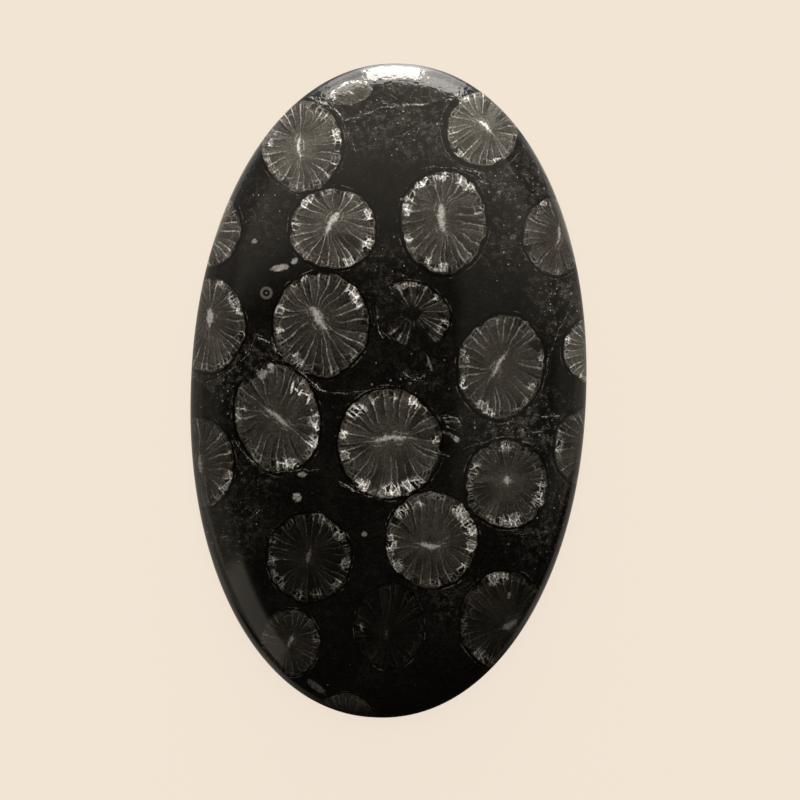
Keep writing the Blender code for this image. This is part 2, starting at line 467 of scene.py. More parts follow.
def make_section_group():
    """One cut branch. Place is in radii from its middle, with the branch's number as the third part."""
    tree, (place, look, core, mood, clear, spot) = start_group(
        "Coral section",
        {
            "Place": "Vector",
            "Look": "Vector",
            "Core": "Vector",
            "Mood": "Vector",
            "Clear": "Float",
            "Spot": "Vector",
        },
        ["Shade", "Inside", "Ring", "Film", "Relief"],
    )
    septa, tone, fringe = look.parts()
    wave, glow, ring = mood.parts()
    number = place.parts()[2]
    grit = noise(spot, 6.5, 2.0, roughness=0.8, kind="2D").rise(0.28, 0.72)

    # the outline wanders a little from a true oval
    wander = noise(spot, 0.45, 1.0, "Color", kind="2D")
    tremble = vector_maths("SUBTRACT", noise(spot, 2.6, 3.0, "Color", 0.65, "2D"), (0.5, 0.5, 0.5))
    moved = vector_maths("ADD", place, vector_maths("SCALE", wander, WANDER))
    moved = vector_maths("ADD", moved, vector_maths("SCALE", tremble, TREMBLE))
    moved = vector_maths("SUBTRACT", moved, (WANDER / 2,) * 3)
    u, v, _ = moved.parts()
    radius = maths("SQRT", u * u + v * v)

    # near the middle the septa run to the flanks of the rod, and further out to its middle
    core_long, core_thick, core_turn = core.parts()
    turn_cos = maths("COSINE", core_turn)
    turn_sin = maths("SINE", core_turn)
    core_u = u * turn_cos + v * turn_sin
    core_v = v * turn_cos - u * turn_sin
    held = maths("MAXIMUM", maths("MINIMUM", core_u, core_long), core_long * -1.0)
    toward = core_u - held * radius.fall(0.10, 0.80) * 0.55
    angle = maths("ARCTAN2", core_v, toward) / math.tau + 0.5

    # septa: one in each cell round the branch, with its own place, thickness and brightness
    sway = (noise(spot, 1.1, 3.0, roughness=0.6, kind="2D") - 0.5) * wave
    step = angle * septa + sway * (radius.fall(0.2, 1.1) * 0.7 + 0.3)
    cell = maths("FLOOR", step)
    cell_around = maths("FLOORED_MODULO", cell, septa)
    chance, chance_2, chance_3 = dice(cell_around + number * 37.3)
    off = step - cell - 0.5 - (chance - 0.5) * 0.5
    cell_width = radius * math.tau / septa
    gap = abs(off) * cell_width
    thick = (radius.rise(0.45, 0.95) * 0.006 + 0.008) * (chance_2 * 0.8 + 0.60) * (1.15 - glow * 0.4)
    start = chance_3 * 0.24 + glow * 0.25 + 0.10
    reach = radius.band(start - 0.05, start + 0.22, 0.90, 0.98)
    streak_place = gather(tree, cell_around * 3.7 + number, radius * 6.0, off * 0.8)
    streak = noise(streak_place, 1.0, 3.0, roughness=0.7).rise(0.38, 0.66)
    septum = (gap / thick).fall(0.35, 1.6) * reach
    septum_light = septum * (streak * 0.9 + 0.30) * (radius.rise(0.20, 0.95) * 0.70 + 0.40)
    septum_light = septum_light * (chance_2 + 0.35) * (1.15 - glow * 0.8) * (grit * 1.1 + 0.55)
    beside = off * cell_width
    flank = beside.band(0.0, 0.03, 0.03, 0.085)

    # the space between two septa: its own tone, and arched plates across it near the rim
    space = cell + off.rise(0.0, 0.0001)
    space_around = maths("FLOORED_MODULO", space, septa)
    luck, luck_2, luck_3 = dice(space_around + number * 91.7 + 500.0)
    across = (step - space) * 2.0
    bow = 1.0 - across * across
    arch_gap = abs(radius - luck * 0.12 - ARCH_PLACE - bow * 0.045)
    arch = arch_gap.fall(0.003, 0.022) * luck_2.rise(0.35, 0.75)
    outer_gap = abs(radius - luck_3 * 0.07 - OUTER_ARCH_PLACE - bow * 0.035)
    outer_arch = outer_gap.fall(0.003, 0.022) * luck.rise(0.15, 0.7)
    minor = (abs(across) * cell_width * 0.5).fall(0.004, 0.016) * radius.band(0.78, 0.88, 0.93, 0.98)
    minor = minor * luck_2.fall(0.4, 0.8)

    # the fringe: small cells just inside the rim, in places lined with bright calcite
    fringe_place = gather(tree, angle * septa * 1.3 + number * 7.0, radius * 6.0, 0.0)
    fringe_place = vector_maths("ADD", fringe_place, vector_maths("SCALE", tremble, SEPTA_RAGGED))
    fringe_inputs = {"Vector": fringe_place, "Scale": 1.0}
    walls, cells = [
        add_node(
            tree,
            "ShaderNodeTexVoronoi",
            fringe_inputs,
            output,
            feature=feature,
            voronoi_dimensions="2D",
        )
        for output, feature in (("Distance", "DISTANCE_TO_EDGE"), ("Color", "F1"))
    ]
    cell_luck, cell_luck_2, _ = cells.parts()
    lace = walls.fall(0.03, 0.13)
    fringe_zone = radius.band(0.80, 0.86, 0.95, 0.99)
    round_place = gather(tree, maths("COSINE", angle * math.tau), maths("SINE", angle * math.tau), number)
    patchy = noise(round_place, 2.1, 3.0, roughness=0.6).rise(0.50, 0.66) * fringe * fringe_zone * 0.7
    clearness = maths("MAXIMUM", patchy * 0.75, clear * radius.rise(0.68, 0.80))
    teeth = maths("MAXIMUM", septum, minor) * 0.7 + outer_arch * 0.4
    crystals = lace * (cell_luck_2 + 0.30) + teeth + cell_luck.rise(0.55, 0.75) * 0.28
    crystals = crystals * clearness * (grit * 1.2 + 0.40)
    soft_lace = lace * fringe_zone * (cell_luck_2 * 0.8 + 0.4)
    dark_cells = fringe_zone * cell_luck.fall(0.35, 0.55) * (1.0 - lace)

    # the rim: each space ends at its own height, and a few were never closed
    rim = 1.0 - luck_3.rise(0.85, 0.93) * 0.05 * bow - luck_3 * 0.02 - across * across * 0.012
    inside = (radius - rim).fall(-0.020, 0.010)
    rim_line = abs(radius - rim + 0.022).fall(0.002, 0.016)
    rim_line = rim_line * noise(spot, 1.6, 3.0, kind="2D").rise(0.50, 0.66)

    # the rod: a spindle that pales towards its middle, with a frayed edge, barbs and two fine points
    core_share = core_u / maths("MAXIMUM", core_long, 0.001)
    fray = (noise(spot, 4.0, 3.0, roughness=0.8, kind="2D") - 0.5) * 0.15
    share_2 = core_share * core_share
    belly = core_thick * maths("MAXIMUM", 1.0 - share_2 * (share_2 * 0.6 + 0.4), 0.0)
    bend = core_v + (noise(spot, 0.9, 1.0, kind="2D") - 0.5) * 0.10
    edge = abs(bend) - belly
    rod = (edge + fray).fall(-0.050, 0.020) * abs(core_share).fall(0.80, 1.15)
    points_out = abs(bend).fall(0.002, 0.020) * abs(core_share).fall(1.0, 1.8) * (grit * 0.7 + 0.5)
    barbs = noise(gather(tree, core_u * 24.0, abs(core_v) * 7.0 - core_u * 5.0, number), 1.0, 2.0)
    halo = edge.fall(0.01, 0.11) * barbs.rise(0.50, 0.62) * abs(core_share).fall(0.8, 1.3)
    loop = abs(edge - 0.085 - fray * 0.3).fall(0.002, 0.016)
    loop = loop * noise(spot, 0.8, 2.0, kind="2D").rise(0.52, 0.60)
    loop = loop * radius.fall(0.3, 0.5) * core_long.rise(0.15, 0.25)
    rod_light = maths("MAXIMUM", rod * (grit * 0.8 + 0.75), points_out * POINTS_LIGHT)
    rod_light = maths("MAXIMUM", rod_light, halo * HALO_LIGHT + loop * LOOP_LIGHT)
    has_rod = core_long.rise(0.02, 0.06)

    # the calcite body
    clouds = noise(spot, 0.8, 4.0, roughness=0.7, kind="2D")
    body = (clouds * 1.7 + 0.15) * (grit * 0.75 + 0.62)
    body = body * (1.0 + (luck - 0.5) * 0.8 * radius.rise(0.2, 0.55))
    body = body * (1.0 - radius.rise(0.78, 0.92) * 0.30) * (1.0 - flank * 0.40 * radius.rise(0.3, 0.7))
    body = body * (1.0 + glow * radius.fall(0.0, 0.55) * 0.6) * (1.0 - dark_cells * 0.60)
    body = body * (1.0 - clearness * 0.55)

    shade = body * SHADE_BODY
    shade = shade + septum_light * SHADE_SEPTUM
    shade = shade + (arch + outer_arch + minor * 0.6) * SHADE_ARCH * (streak * 0.8 + 0.2)
    shade = shade + soft_lace * SHADE_SOFT_LACE + rim_line * SHADE_RIM
    shade = shade + rod_light * has_rod * SHADE_CORE
    shade = shade * tone + crystals * SHADE_CLEAR * maths("MINIMUM", tone * 0.7 + 0.15, 1.05)

    gap_outside = maths("MAXIMUM", ring, 0.004)
    dark_ring = (radius - 1.0).fall(gap_outside * 0.6, gap_outside * 1.4)
    film_gap = abs(radius - 1.015 - gap_outside)
    film = film_gap.fall(0.002, 0.016) * noise(spot, 0.7, 3.0, roughness=0.7, kind="2D").rise(0.52, 0.66)
    end_group(
        tree,
        Shade=shade,
        Inside=inside,
        Ring=dark_ring,
        Film=film * (grit * 0.8 + 0.4),
        Relief=septum * 0.8 + clearness * lace + rod_light * 0.6,
    )
    return tree


section_group = make_section_group()


# ------------------------------------------------------------------------------------------------
# Calcite veins, clear patches and bits of shell
# Cracks that opened as the mud set and healed with white calcite, mostly round the branches. Where
# a branch's rim was hollow, it is filled with coarser, brighter crystals. The smooth grey specks
# between the branches are bits of shell, and the small ring is a stem joint of a sea lily.
# ------------------------------------------------------------------------------------------------

VEIN_SHADE = 0.42
FILM_SHADE = 0.08
GRAINS_INSIDE = 0.45        # how much of the grains' brightness is left inside a branch
BIT_SHADE = 0.17
SPOT_DEPTH = 1.667          # how deep patches, bits and mud reach below the dome, in millimetres

# Each vein is a line of places in millimetres, with its half thickness and its brightness.
Vein = namedtuple("Vein", "thick bright path")
VEINS = [
    Vein(0.060, 1.0, [(-9.4, 3.4), (-8.3, 3.0), (-7.9, 2.5), (-7.2, 1.9), (-6.0, 0.9), (-5.3, 0.3),
                      (-4.8, -0.1), (-4.4, -0.2)]),
    Vein(0.040, 0.35, [(-4.4, -0.2), (-3.0, -0.3), (-0.3, 0.2)]),
    Vein(0.045, 0.35, [(-13.8, 0.5), (-13.2, 0.2), (-12.8, 0.1), (-11.5, 0.7), (-10.5, 1.4)]),
    Vein(0.035, 0.22, [(-10.5, 1.4), (-9.8, 2.3), (-9.4, 3.4)]),
    Vein(0.060, 0.65, [(3.85, -1.8), (4.3, -1.6), (4.9, -1.75), (5.15, -2.2), (4.8, -2.5), (4.2, -2.4)]),
    Vein(0.120, 0.30, [(4.1, -2.0), (4.6, -1.95), (4.9, -2.1)]),
    Vein(0.130, 0.32, [(3.9, -2.75), (4.4, -2.9), (4.8, -3.1)]),
    Vein(0.045, 0.45, [(-10.6, -3.9), (-9.9, -4.8), (-9.0, -5.6), (-7.8, -6.0), (-6.0, -5.8),
                       (-4.6, -5.7)]),
    Vein(0.050, 0.80, [(-3.2, -6.4), (-2.4, -6.9), (-1.6, -7.3), (-0.7, -7.5), (0.5, -7.4),
                       (1.7, -7.2)]),
    Vein(0.045, 0.60, [(2.8, -7.0), (3.9, -7.1), (5.0, -7.7), (5.6, -8.4)]),
    Vein(0.070, 1.0, [(-6.4, 20.4), (-5.6, 20.1), (-4.5, 19.6), (-4.0, 19.0)]),
    Vein(0.035, 0.45, [(-4.0, 19.0), (-3.4, 17.5), (-2.9, 16.7)]),
    Vein(0.045, 0.60, [(-5.3, 20.0), (-4.2, 20.0), (-3.3, 20.0)]),
    Vein(0.035, 0.30, [(-2.9, 16.7), (-1.5, 17.2), (0.3, 17.9), (1.8, 18.9), (2.2, 19.1)]),
    Vein(0.045, 0.55, [(-3.8, 18.8), (-2.5, 19.2), (-1.8, 19.5), (-1.4, 19.8), (0.0, 19.9),
                       (0.5, 20.0)]),
    Vein(0.055, 0.90, [(-1.1, 20.1), (0.0, 20.0), (1.2, 20.1), (2.4, 20.3), (3.7, 20.6),
                       (4.2, 21.0)]),
    Vein(0.045, 0.60, [(3.3, 16.7), (3.8, 16.2), (4.7, 15.6), (6.1, 15.5)]),
    Vein(0.045, 0.60, [(1.8, 15.6), (2.7, 15.8), (3.6, 15.8), (4.4, 15.7), (5.4, 15.2),
                       (6.3, 14.7)]),
    Vein(0.035, 0.35, [(12.9, 6.9), (12.0, 5.3), (11.6, 4.0), (11.1, 2.9), (11.0, 1.5)]),
    Vein(0.055, 0.90, [(10.8, -1.4), (12.0, -1.3)]),
    Vein(0.040, 0.40, [(10.1, -2.5), (11.0, -2.4)]),
    Vein(0.035, 0.35, [(5.4, -3.9), (6.6, -3.4), (7.6, -3.0), (9.0, -2.9)]),
    Vein(0.035, 0.30, [(9.3, -9.7), (10.3, -9.6), (11.5, -9.4)]),
    Vein(0.045, 0.50, [(-9.2, -9.2), (-8.7, -8.7)]),
    Vein(0.040, 0.45, [(-11.4, -10.9), (-10.9, -10.6)]),
    Vein(0.045, 0.50, [(3.6, -4.3), (4.4, -4.5)]),
    Vein(0.040, 0.45, [(1.0, 1.33), (1.5, 1.0), (2.2, 0.95), (2.5, 1.1)]),
    Vein(0.035, 0.30, [(-8.8, 14.5), (-7.8, 13.8), (-6.7, 13.4)]),
    Vein(0.045, 0.50, [(-0.97, 5.5), (-1.0, 4.9), (-0.85, 4.3), (-0.75, 3.9), (-0.6, 3.6)]),
]

# (x, y, radius, brightness) of the clear patches, branch by branch
PATCHES = [
    # The first four brighten the upper rim of the small branch at the head, where the bright streak lies.
    (-4.6, 20.6, 0.40, 1.0), (-4.0, 21.3, 0.45, 1.0), (-3.1, 21.7, 0.45, 1.0), (-2.3, 21.6, 0.30, 0.6),
    (-4.3, 17.7, 0.61, 0.8), (-8.8, 17.0, 0.35, 0.9), (-8.5, 17.6, 0.27, 0.7),
    (-5.3, 19.0, 0.35, 0.5), (-5.7, 18.4, 0.27, 0.5), (-4.2, 15.6, 0.27, 0.4),
    (4.7, 20.7, 0.27, 0.6), (4.2, 16.8, 0.35, 0.6), (5.3, 17.6, 0.35, 0.5), (7.0, 16.4, 0.27, 0.6),
    (-6.5, 13.1, 0.70, 0.8), (-1.9, 12.2, 0.43, 1.0), (-1.8, 10.1, 0.52, 1.0),
    (-3.1, 8.9, 0.43, 0.7), (-6.9, 11.2, 0.35, 0.6),
    (1.5, 14.7, 0.70, 1.0), (0.9, 13.7, 0.52, 0.9), (0.8, 12.8, 0.52, 0.9), (4.9, 15.0, 0.79, 0.9),
    (5.3, 14.5, 0.43, 0.7), (3.2, 15.2, 0.52, 0.7), (3.5, 8.8, 0.40, 0.7), (2.4, 9.2, 0.32, 0.7),
    (1.0, 10.6, 0.27, 0.7), (6.1, 13.1, 0.27, 0.4),
    (10.3, 13.5, 0.27, 0.6), (10.2, 12.6, 0.43, 0.6),
    (-11.1, 5.7, 0.61, 0.6), (-10.6, 5.3, 0.43, 0.7), (-10.4, 3.5, 0.27, 0.6),
    (-2.8, 7.0, 0.52, 1.0), (-2.6, 6.5, 0.43, 0.9), (-6.2, 7.7, 0.35, 0.7), (-6.9, 7.2, 0.27, 0.8),
    (-2.4, 5.9, 0.35, 0.8), (-7.8, 5.4, 0.43, 0.7), (-7.7, 3.9, 0.35, 0.7), (-6.5, 2.3, 0.35, 0.7),
    (-6.4, 1.8, 0.43, 0.5), (-3.2, 3.1, 0.35, 0.4),
    (2.9, 6.5, 0.40, 0.7), (0.9, 7.3, 0.35, 0.9), (1.6, 7.6, 0.35, 0.9), (3.8, 5.0, 0.35, 0.6),
    (3.3, 4.5, 0.35, 0.6),
    (9.6, 5.2, 0.35, 0.5), (5.6, 2.4, 0.35, 0.7), (5.2, 0.6, 0.35, 0.8), (6.7, -1.1, 0.70, 0.7),
    (9.9, 0.7, 0.35, 0.6), (10.7, 2.7, 0.27, 0.6),
    (12.3, 4.0, 0.35, 0.6), (13.6, 1.5, 0.35, 0.5),
    (-4.8, -2.2, 0.79, 0.9), (-6.9, -5.5, 0.70, 0.9), (-6.4, -5.7, 0.52, 0.8),
    (-5.0, -3.8, 0.61, 0.7), (-10.0, -1.7, 0.35, 0.6), (-10.6, -2.4, 0.35, 0.5),
    (-11.1, -7.3, 0.52, 0.6), (-10.9, -6.6, 0.52, 0.6), (-11.8, -8.7, 0.43, 0.4),
    (-2.3, -1.5, 0.61, 0.9), (-1.7, -1.6, 0.43, 0.9), (-0.8, -0.9, 0.38, 0.7),
    (-3.1, -3.2, 0.43, 0.8), (-2.8, -4.6, 0.43, 0.7), (0.3, -0.4, 0.35, 0.5), (2.0, -0.6, 0.61, 1.0),
    (2.5, -0.9, 0.43, 0.9), (-1.6, -6.7, 0.61, 0.9), (0.5, -6.8, 0.70, 1.0), (1.6, -6.4, 0.70, 1.0),
    (3.4, -3.3, 0.35, 0.6),
    (12.2, -3.4, 0.52, 0.6), (12.0, -2.2, 0.35, 0.5),
    (8.3, -3.7, 0.43, 0.6), (6.4, -5.3, 0.52, 0.6), (10.8, -6.5, 0.61, 0.8), (10.7, -7.3, 0.52, 0.7),
    (8.9, -8.6, 0.79, 0.8),
    (-4.5, -9.1, 0.52, 0.7), (-3.0, -10.1, 0.61, 0.7), (-2.4, -12.2, 0.61, 0.8),
    (-3.1, -13.6, 0.35, 0.7), (-7.7, -12.1, 0.52, 0.6), (-7.2, -13.6, 0.61, 0.5),
    (-5.7, -14.4, 0.43, 0.6), (-4.5, -14.3, 0.43, 0.5), (-7.8, -10.7, 0.43, 0.5),
    (5.4, -8.3, 0.70, 0.9), (5.9, -9.4, 0.79, 0.9), (6.1, -10.6, 0.43, 0.8), (2.4, -8.0, 0.43, 0.8),
    (1.3, -8.4, 0.61, 0.8), (0.5, -10.6, 0.61, 0.8), (1.1, -12.2, 0.52, 0.8), (5.6, -12.2, 0.35, 0.7),
    (-4.4, -17.5, 0.43, 0.4), (-1.1, -16.6, 0.35, 0.8),
    (8.1, -12.9, 0.79, 0.9), (11.2, -13.0, 0.52, 0.6), (7.3, -18.3, 0.61, 0.6), (8.1, -18.6, 0.43, 0.5),
]

# (x, y, half length, half thickness, turn, brightness) of the bits of shell
BITS = [
    (-9.8, 10.1, 0.22, 0.18, 20, 0.8), (-7.9, 8.3, 0.63, 0.24, 12, 1.0), (-6.9, 8.8, 0.28, 0.20, 40, 0.9),
    (-6.1, -7.7, 0.32, 0.30, 2, 1.0), (-1.3, -10.1, 0.20, 0.20, 2, 0.5), (2.8, 2.0, 0.60, 0.10, 110, 0.4),
    (-8.3, 1.4, 0.25, 0.20, 2, 0.8), (-8.9, 0.8, 0.38, 0.33, 30, 0.7), (-5.8, -6.1, 0.30, 0.20, 2, 0.8),
    (9.0, -14.0, 0.26, 0.13, 80, 0.5), (4.88, -3.2, 0.28, 0.20, -38, 1.0), (7.2, 14.2, 0.15, 0.12, 2, 0.6),
    (8.7, 12.5, 0.12, 0.10, 2, 0.6), (8.3, 11.1, 0.24, 0.20, 2, 0.3), (1.3, 10.0, 0.14, 0.12, 2, 0.6),
    (0.4, 13.4, 0.11, 0.10, 2, 0.6), (-4.26, -20.96, 0.80, 0.25, -35, 0.35),
    (-0.93, 1.91, 0.06, 0.06, 0, 0.6), (-1.18, 0.39, 0.09, 0.08, 0, 0.5),
    (0.12, 0.72, 0.08, 0.06, 0, 0.7), (0.83, 0.82, 0.08, 0.06, 0, 0.7), (1.49, 0.56, 0.12, 0.10, 0, 0.4),
    (1.83, 0.86, 0.07, 0.06, 0, 0.7),
    # two small ladders of bright crystal
    (-6.72, -0.02, 0.46, 0.09, 79, 2.6), (-6.41, -0.20, 0.42, 0.07, -37, 2.0),
    (-6.13, -0.38, 0.31, 0.09, 57, 2.6), (-5.72, -0.49, 0.38, 0.07, -18, 2.0),
    (-5.55, -0.81, 0.40, 0.09, 74, 2.6), (-5.40, -3.94, 0.43, 0.07, -28, 1.8),
    (-5.11, -3.66, 0.41, 0.07, -39, 1.7), (-4.91, -3.81, 0.34, 0.07, 73, 1.7),
]
STEM_JOINT = (-8.8, 6.5, 0.46)      # x, y and radius

# (x, y, half length, half thickness, turn, strength) of the dark mud that got into broken branches
STAINS = [
    (-0.20, 6.10, 1.10, 1.55, 25, 0.93), (-0.75, 4.70, 0.70, 0.75, 0, 0.85), (2.05, 3.55, 0.95, 1.05, 0, 1.0),
    (1.40, 5.45, 0.75, 0.70, 0, 1.0), (3.10, 2.90, 1.20, 0.55, 25, 1.0), (0.90, 4.60, 0.60, 0.55, 0, 0.80),
    (0.95, 6.85, 0.45, 0.22, 80, 0.95), (1.85, 7.05, 0.45, 0.16, 75, 0.90),
    (3.60, 5.35, 0.50, 0.16, -25, 0.80), (-9.4, 1.2, 1.5, 0.75, 45, 0.95), (4.0, -5.4, 0.9, 1.0, 0, 0.75),
    (3.2, -1.7, 0.4, 0.9, 30, 0.5), (-3.2, 10.4, 1.1, 0.5, -25, 0.55), (10.2, 3.6, 0.6, 0.4, 0, 0.8),
    (1.6, -17.3, 1.5, 1.0, 20, 0.6), (-0.7, -14.6, 1.0, 0.8, 0, 0.5),
]

runs = [
    (start, end, vein.thick, vein.bright)
    for vein in VEINS
    for start, end in zip(vein.path, vein.path[1:])
]


def place_on_run(run, place):
    """How far points lie along a straight run from its middle, and across it, in millimetres."""
    (x0, y0), (x1, y1) = run[:2]
    run_length = math.hypot(x1 - x0, y1 - y0)
    way_x = (x1 - x0) / run_length
    way_y = (y1 - y0) / run_length
    x = place[:, 0] - (x0 + x1) / 2
    y = place[:, 1] - (y0 + y1) / 2
    return x * way_x + y * way_y, y * way_x - x * way_y, run_length / 2


def place_on_spot(spot, place):
    """Where points lie on an oval spot, in its half sizes."""
    x0, y0, half_long, half_thick, turn = spot[:5]
    way = math.radians(turn)
    x = place[:, 0] - x0
    y = place[:, 1] - y0
    along = x * math.cos(way) + y * math.sin(way)
    return along / half_long, (y * math.cos(way) - x * math.sin(way)) / half_thick


run_distance = np.empty((len(runs), len(face_place)))
for number, run in enumerate(runs):
    along, across, half = place_on_run(run, face_place)
    run_distance[number] = np.hypot(np.maximum(np.abs(along) - half, 0), across)

# Each corner keeps its place on the nearest run, and that run's look. The sixth row stays empty.
corner_run = np.argmin(run_distance, axis=0)[corner_face]
on_run = np.zeros((6, len(corner_place)))
for number, run in enumerate(runs):
    here = corner_run == number
    along, across, half = place_on_run(run, corner_place[here])
    for row, value in enumerate((along, across, half, *run[2:])):
        on_run[row][here] = value
keep_on_corners("vein_place", *on_run[:3])
keep_on_corners("vein_look", *on_run[3:])


def keep_nearest_spot(name, spots):
    """Keep, on every face corner, its place on the nearest spot and that spot's brightness."""
    distance = np.empty((len(spots), len(face_place)))
    for number, spot in enumerate(spots):
        along, across = place_on_spot(spot, face_place)
        distance[number] = np.hypot(along, across)
    corner_spot = np.argmin(distance, axis=0)[corner_face]
    kept = np.zeros((3, len(corner_place)))
    for number, spot in enumerate(spots):
        here = corner_spot == number
        along, across = place_on_spot(spot, corner_place[here])
        for row, value in enumerate((along, across, spot[5])):
            kept[row][here] = value
    kept[2] *= np.clip(1.0 - corner_depth / SPOT_DEPTH, 0.0, 1.0)
    keep_on_corners(name, *kept)


keep_nearest_spot("patch", [(x, y, size, size, 0, bright) for x, y, size, bright in PATCHES])
keep_nearest_spot("bit", BITS)
keep_nearest_spot("stain", STAINS)


def make_inclusion_group():
    """Veins, clear patches, shell bits and the stem joint, as light to add to the rock."""
    tree, (spot, vein_place, vein_look, patch, bit, stain) = start_group(
        "Veins and bits",
        {
            "Spot": "Vector",
            "Vein place": "Vector",
            "Vein look": "Vector",
            "Patch": "Vector",
            "Bit": "Vector",
            "Stain": "Vector",
        },
        ["Vein", "Patch", "Bit", "Mud"],
    )
    along, across, half = vein_place.parts()
    thick, bright, _ = vein_look.parts()
    wobble = (noise(spot, 1.5, 2.0) - 0.5) * 0.42 + (noise(spot, 7.0, 2.0) - 0.5) * 0.16
    over = maths("MAXIMUM", abs(along) - half, 0.0)
    shifted = across + wobble
    distance = maths("SQRT", over * over + shifted * shifted)
    swell = noise(spot, 2.2, 3.0, roughness=0.7).rise(0.30, 0.70)
    beads = noise(spot, 5.0, 2.0, roughness=0.7).rise(0.34, 0.62)
    line = (distance / (thick * (swell * 1.1 + 0.15) * (beads * 0.6 + 0.55))).fall(0.4, 1.4)
    side_line = abs(distance - 0.17).fall(0.0, 0.028) * noise(spot, 1.3, 3.0).rise(0.52, 0.64) * 0.5
    vein = (line * (swell * 0.65 + 0.10) * (beads * 0.8 + 0.35) + side_line * beads) * bright

    patch_u, patch_v, patch_bright = patch.parts()
    ragged = (noise(spot, 2.4, 2.0, roughness=0.6) - 0.5) * 1.6
    patch_far = maths("SQRT", patch_u * patch_u + patch_v * patch_v) + ragged
    clear_patch = patch_far.fall(0.70, 1.05) * patch_bright

    stain_u, stain_v, stain_strength = stain.parts()
    seep = (noise(spot, 1.3, 4.0, roughness=0.65) - 0.5) * 1.3
    stain_far = maths("SQRT", stain_u * stain_u + stain_v * stain_v) + seep
    mud = stain_far.fall(0.70, 1.10) * stain_strength

    bit_u, bit_v, bit_bright = bit.parts()
    bit_edge = (noise(spot, 4.0, 4.0, roughness=0.75) - 0.5) * 1.5
    bit_far = maths("SQRT", bit_u * bit_u + bit_v * bit_v) + bit_edge
    bit_grain = noise(spot, 5.0, 3.0, roughness=0.8).rise(0.32, 0.68)
    shell = bit_far.fall(0.75, 1.1) * bit_bright * (bit_grain * 1.2 + 0.35)

    joint_x, joint_y, joint_radius = STEM_JOINT
    from_joint = vector_maths("SUBTRACT", spot, (joint_x, joint_y, 0.0))
    flat = vector_maths("MULTIPLY", from_joint, (1.0, 1.0, 0.0))
    joint_far = length(flat) / joint_radius
    joint = joint_far.band(0.45, 0.62, 0.86, 1.05) * 0.34 + joint_far.fall(0.08, 0.24) * 0.5

    shell = maths("MAXIMUM", shell, joint)
    end_group(tree, Vein=vein, Patch=clear_patch, Bit=shell, Mud=mud)
    return tree


inclusion_group = make_inclusion_group()


# ------------------------------------------------------------------------------------------------
# The polish
# The dome and the edge are polished to a wet shine with tin oxide, which leaves faint scratches and
# a slight ripple along the rim at the head. The septa are a little duller than the rest, and the
# back is only honed, so it stays satin.
# ------------------------------------------------------------------------------------------------

DARK_TINT = (1.0, 0.88, 0.72, 1.0)
PALE_TINT = (1.0, 0.975, 0.93, 1.0)
PALENESS = (0.0, 0.12)              # the shades at which the one tint gives way to the other
POLISH_ROUGHNESS = 0.10
BACK_ROUGHNESS = 0.42
SMEAR_ROUGHNESS = 0.07
SEPTUM_ROUGHNESS = 0.05
GLOSS_IOR = 1.50
RELIEF_HEIGHT = 0.0016 * MM         # of one unit of each of the next three
SCRATCHES = 0.5
SWELLS = 1.5
RIPPLE = 28.0
RIPPLE_FROM = (10.0, 16.0)          # how far towards the head the ripple begins, in millimetres

material = bpy.data.materials.new("polished_fossil_coral")
material.use_nodes = True
tree = material.node_tree
surface = tree.nodes["Principled BSDF"]
stone_mesh.materials.append(material)


def kept(name, output="Vector"):
    """What was stored on the stone under this name."""
    return add_node(tree, "ShaderNodeAttribute", {}, output, attribute_name=name)


object_place = add_node(tree, "ShaderNodeTexCoord", {}, "Object")
spot = vector_maths("SCALE", object_place, 1 / MM)

place_a = kept("place_a")
place_b = kept("place_b")
far_a = length(vector_maths("MULTIPLY", place_a, (1, 1, 0)))
far_b = length(vector_maths("MULTIPLY", place_b, (1, 1, 0)))
use_b = maths("GREATER_THAN", far_a, far_b)
chosen = [mix("VECTOR", use_b, place_a, place_b)]
for name in ("look", "core", "mood"):
    chosen.append(mix("VECTOR", use_b, kept(name + "_a"), kept(name + "_b")))
rock_shade, grains = use_group(tree, limestone_group, spot, kept("threads", "Fac"))
on_stone = [kept(name) for name in ("vein_place", "vein_look", "patch", "bit", "stain")]
vein, clear_patch, shell, mud = use_group(tree, inclusion_group, spot, *on_stone)
section = use_group(tree, section_group, *chosen, clear_patch, spot)
section_shade, inside, ring, film, section_relief = section
ring = ring * (1.0 - mud)
film = film * (1.0 - mud)
outside = rock_shade * (1.0 - ring * 0.75) + film * FILM_SHADE + vein * VEIN_SHADE
outside = outside + grains * (1.0 - ring)
shade = mix("FLOAT", inside * (1.0 - mud), outside, section_shade + grains * GRAINS_INSIDE)
shade = shade + shell * BIT_SHADE
colour = vector_maths("SCALE", mix("RGBA", shade.rise(*PALENESS), DARK_TINT, PALE_TINT), shade)
tree.links.new(colour.socket, surface.inputs["Base Color"])

relief = section_relief * inside
scratches = noise(vector_maths("MULTIPLY", spot, (1.0, 0.35, 1.0)), 9.0, 3.0, roughness=0.7)
upright = add_node(tree, "ShaderNodeNewGeometry", {}, "Normal").parts()[2]
toward_head = spot.parts()[1].rise(*RIPPLE_FROM)
rim_ripple = noise(spot, 2.8, 1.5) * upright.fall(0.79, 0.93) * toward_head * RIPPLE
height = scratches * SCRATCHES + noise(spot, 0.7, 1.0) * SWELLS + rim_ripple
bump = add_node(tree, "ShaderNodeBump", {"Height": height, "Strength": 1.0, "Distance": RELIEF_HEIGHT})
tree.links.new(bump.socket, surface.inputs["Normal"])

facing = add_node(tree, "ShaderNodeNewGeometry", {}, "True Normal").parts()[2]
honed = facing.fall(-0.95, -0.55)
smears = noise(spot, 1.4, 4.0, roughness=0.7)
roughness = honed * (BACK_ROUGHNESS - POLISH_ROUGHNESS) + POLISH_ROUGHNESS
roughness = roughness + smears.rise(0.45, 0.8) * SMEAR_ROUGHNESS + relief * SEPTUM_ROUGHNESS
tree.links.new(roughness.socket, surface.inputs["Roughness"])
surface.inputs["IOR"].default_value = GLOSS_IOR

